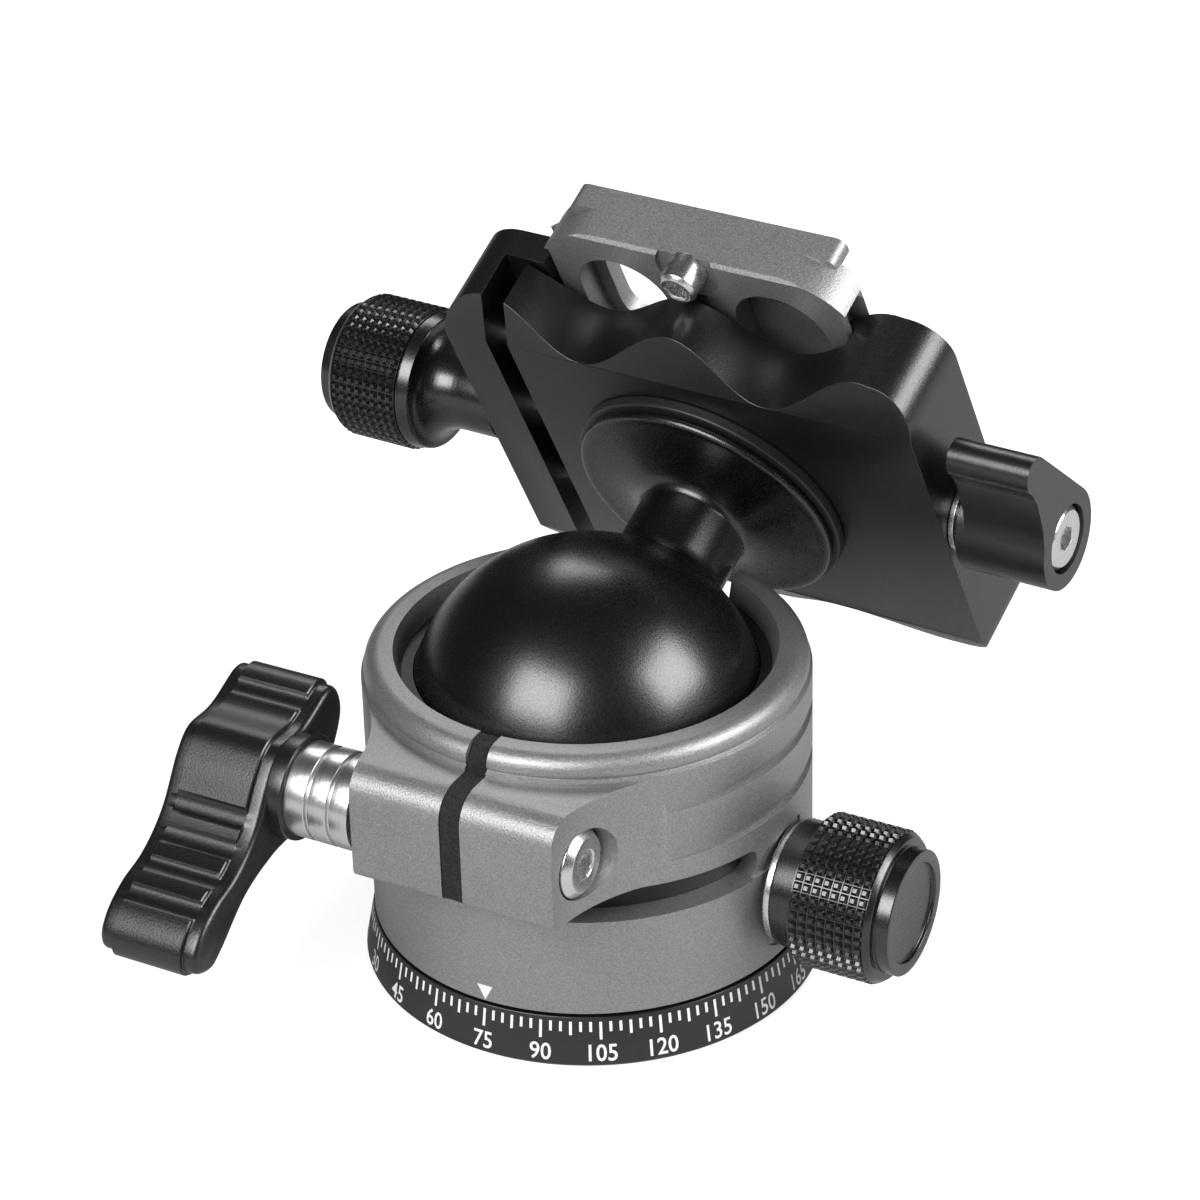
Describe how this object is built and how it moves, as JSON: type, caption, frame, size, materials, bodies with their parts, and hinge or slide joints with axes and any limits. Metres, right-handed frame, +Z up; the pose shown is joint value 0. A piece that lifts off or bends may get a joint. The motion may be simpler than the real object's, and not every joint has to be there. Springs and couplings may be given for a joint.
{
  "type": "tripod ball head",
  "caption": "Compact ball head: split clamp housing on a panning base with a degree scale, lock lever, pan lock knob and a lever-and-knob dovetail clamp with its plate.",
  "frame": {"origin": "middle of the base's underside, at the mouth of the tripod thread", "axes": "+Z up along the pan axis; -Y to the front slot and index mark, +Y to the drop notch; +X to the pan lock knob, -X to the lock lever"},
  "size_m": [0.0956, 0.1025, 0.0788],
  "materials": {
    "black_anodised": "black anodised, bead blasted, satin",
    "grey_anodised": "titanium-grey anodised, bead blasted, satin",
    "bright_steel": "turned, bright",
    "dark_steel": "zinc plated",
    "brass": "turned",
    "black_rubber": "closed-cell foam",
    "dark_plastic": "matt black"
  },
  "bodies": {
    "base": {"base_plate": "black_anodised", "thread_insert": "dark_steel", "retaining_wire": "dark_steel", "pan_washer": "dark_plastic"},
    "housing": {"housing": "grey_anodised", "slot_strip": "black_rubber", "ball_liner": "dark_plastic", "lock_bolt": "bright_steel"},
    "lock_lever": {"lock_lever": "black_anodised", "lever_collar": "bright_steel"},
    "pan_pad": {"pan_pad": "brass"},
    "pan_knob": {"pan_knob": "black_anodised", "pan_knob_cap": "dark_plastic", "pan_stud": "dark_steel", "pan_knob_washer": "bright_steel"},
    "ball": {"ball": "black_anodised", "clamp_stud": "dark_steel"},
    "clamp": {"clamp_seat": "dark_plastic", "clamp_body": "black_anodised", "cam_ring": "bright_steel"},
    "rod": {"draw_rod": "dark_steel"},
    "quick_lever": {"quick_lever": "black_anodised", "lever_screw": "bright_steel"},
    "jaw": {"jaw": "black_anodised", "guide_pins": "dark_steel"},
    "jaw_knob": {"jaw_knob": "black_anodised", "jaw_knob_cap": "dark_plastic"},
    "plate": {"qr_plate": "grey_anodised", "stop_screws": "bright_steel"},
    "camera_screw": {"camera_screw": "dark_steel"}
  },
  "joints": [
    {"name": "pan", "type": "hinge", "parent": "base", "child": "housing", "pos_m": [0, 0, 0.01], "axis": [0, 0, 1], "continuous": true},
    {"name": "lock_lever_turn", "type": "hinge", "parent": "housing", "child": "lock_lever", "pos_m": [-0.028, -0.0252, 0.0282], "axis": [1, 0, 0], "range_deg": [-57, 63]},
    {"name": "pan_pad_slide", "type": "slide", "parent": "housing", "child": "pan_pad", "axis": [1, 0, 0], "range_m": [-0.0002, 0.0006]},
    {"name": "pan_knob_turn", "type": "hinge", "parent": "pan_pad", "child": "pan_knob", "pos_m": [0.03, 0, 0.01455], "axis": [1, 0, 0], "range_deg": [-72, 216]},
    {"name": "ball_tilt", "type": "hinge", "parent": "housing", "child": "ball", "pos_m": [0, 0, 0.02962], "axis": [1, 0, 0], "range_deg": [-27, 75]},
    {"name": "clamp_turn", "type": "hinge", "parent": "ball", "child": "clamp", "pos_m": [0.00148, 0.02648, 0.04365], "axis": [0.0495, 0.8825, 0.4676], "continuous": true},
    {"name": "rod_slide", "type": "slide", "parent": "clamp", "child": "rod", "axis": [0.9981, -0.0608, 0.0091], "range_m": [-0.0008, 0]},
    {"name": "quick_lever_turn", "type": "hinge", "parent": "rod", "child": "quick_lever", "pos_m": [0.03874, 0.03005, 0.04707], "axis": [0.9981, -0.0608, 0.0091], "range_deg": [0, 100]},
    {"name": "jaw_slide", "type": "slide", "parent": "rod", "child": "jaw", "axis": [-0.9981, 0.0608, -0.0091], "range_m": [0, 0.003]},
    {"name": "jaw_knob_turn", "type": "hinge", "parent": "jaw", "child": "jaw_knob", "pos_m": [-0.03811, 0.03473, 0.04637], "axis": [-0.9981, 0.0608, -0.0091], "range_deg": [0, 1350]},
    {"name": "plate_slide", "type": "slide", "parent": "clamp", "child": "plate", "axis": [0.0365, 0.4663, -0.8839], "range_m": [-0.0009, 0.0009]},
    {"name": "camera_screw_turn", "type": "hinge", "parent": "plate", "child": "camera_screw", "pos_m": [0.00218, 0.03883, 0.0502], "axis": [0.0495, 0.8825, 0.4676], "continuous": true}
  ],
  "couplings": [
    {"joint": "pan_knob_turn", "follows": "pan_pad_slide", "rad_per_m": 6283.2},
    {"joint": "quick_lever_turn", "follows": "rod_slide", "rad_per_m": -2181.7},
    {"joint": "jaw_knob_turn", "follows": "jaw_slide", "rad_per_m": 7854}
  ]
}
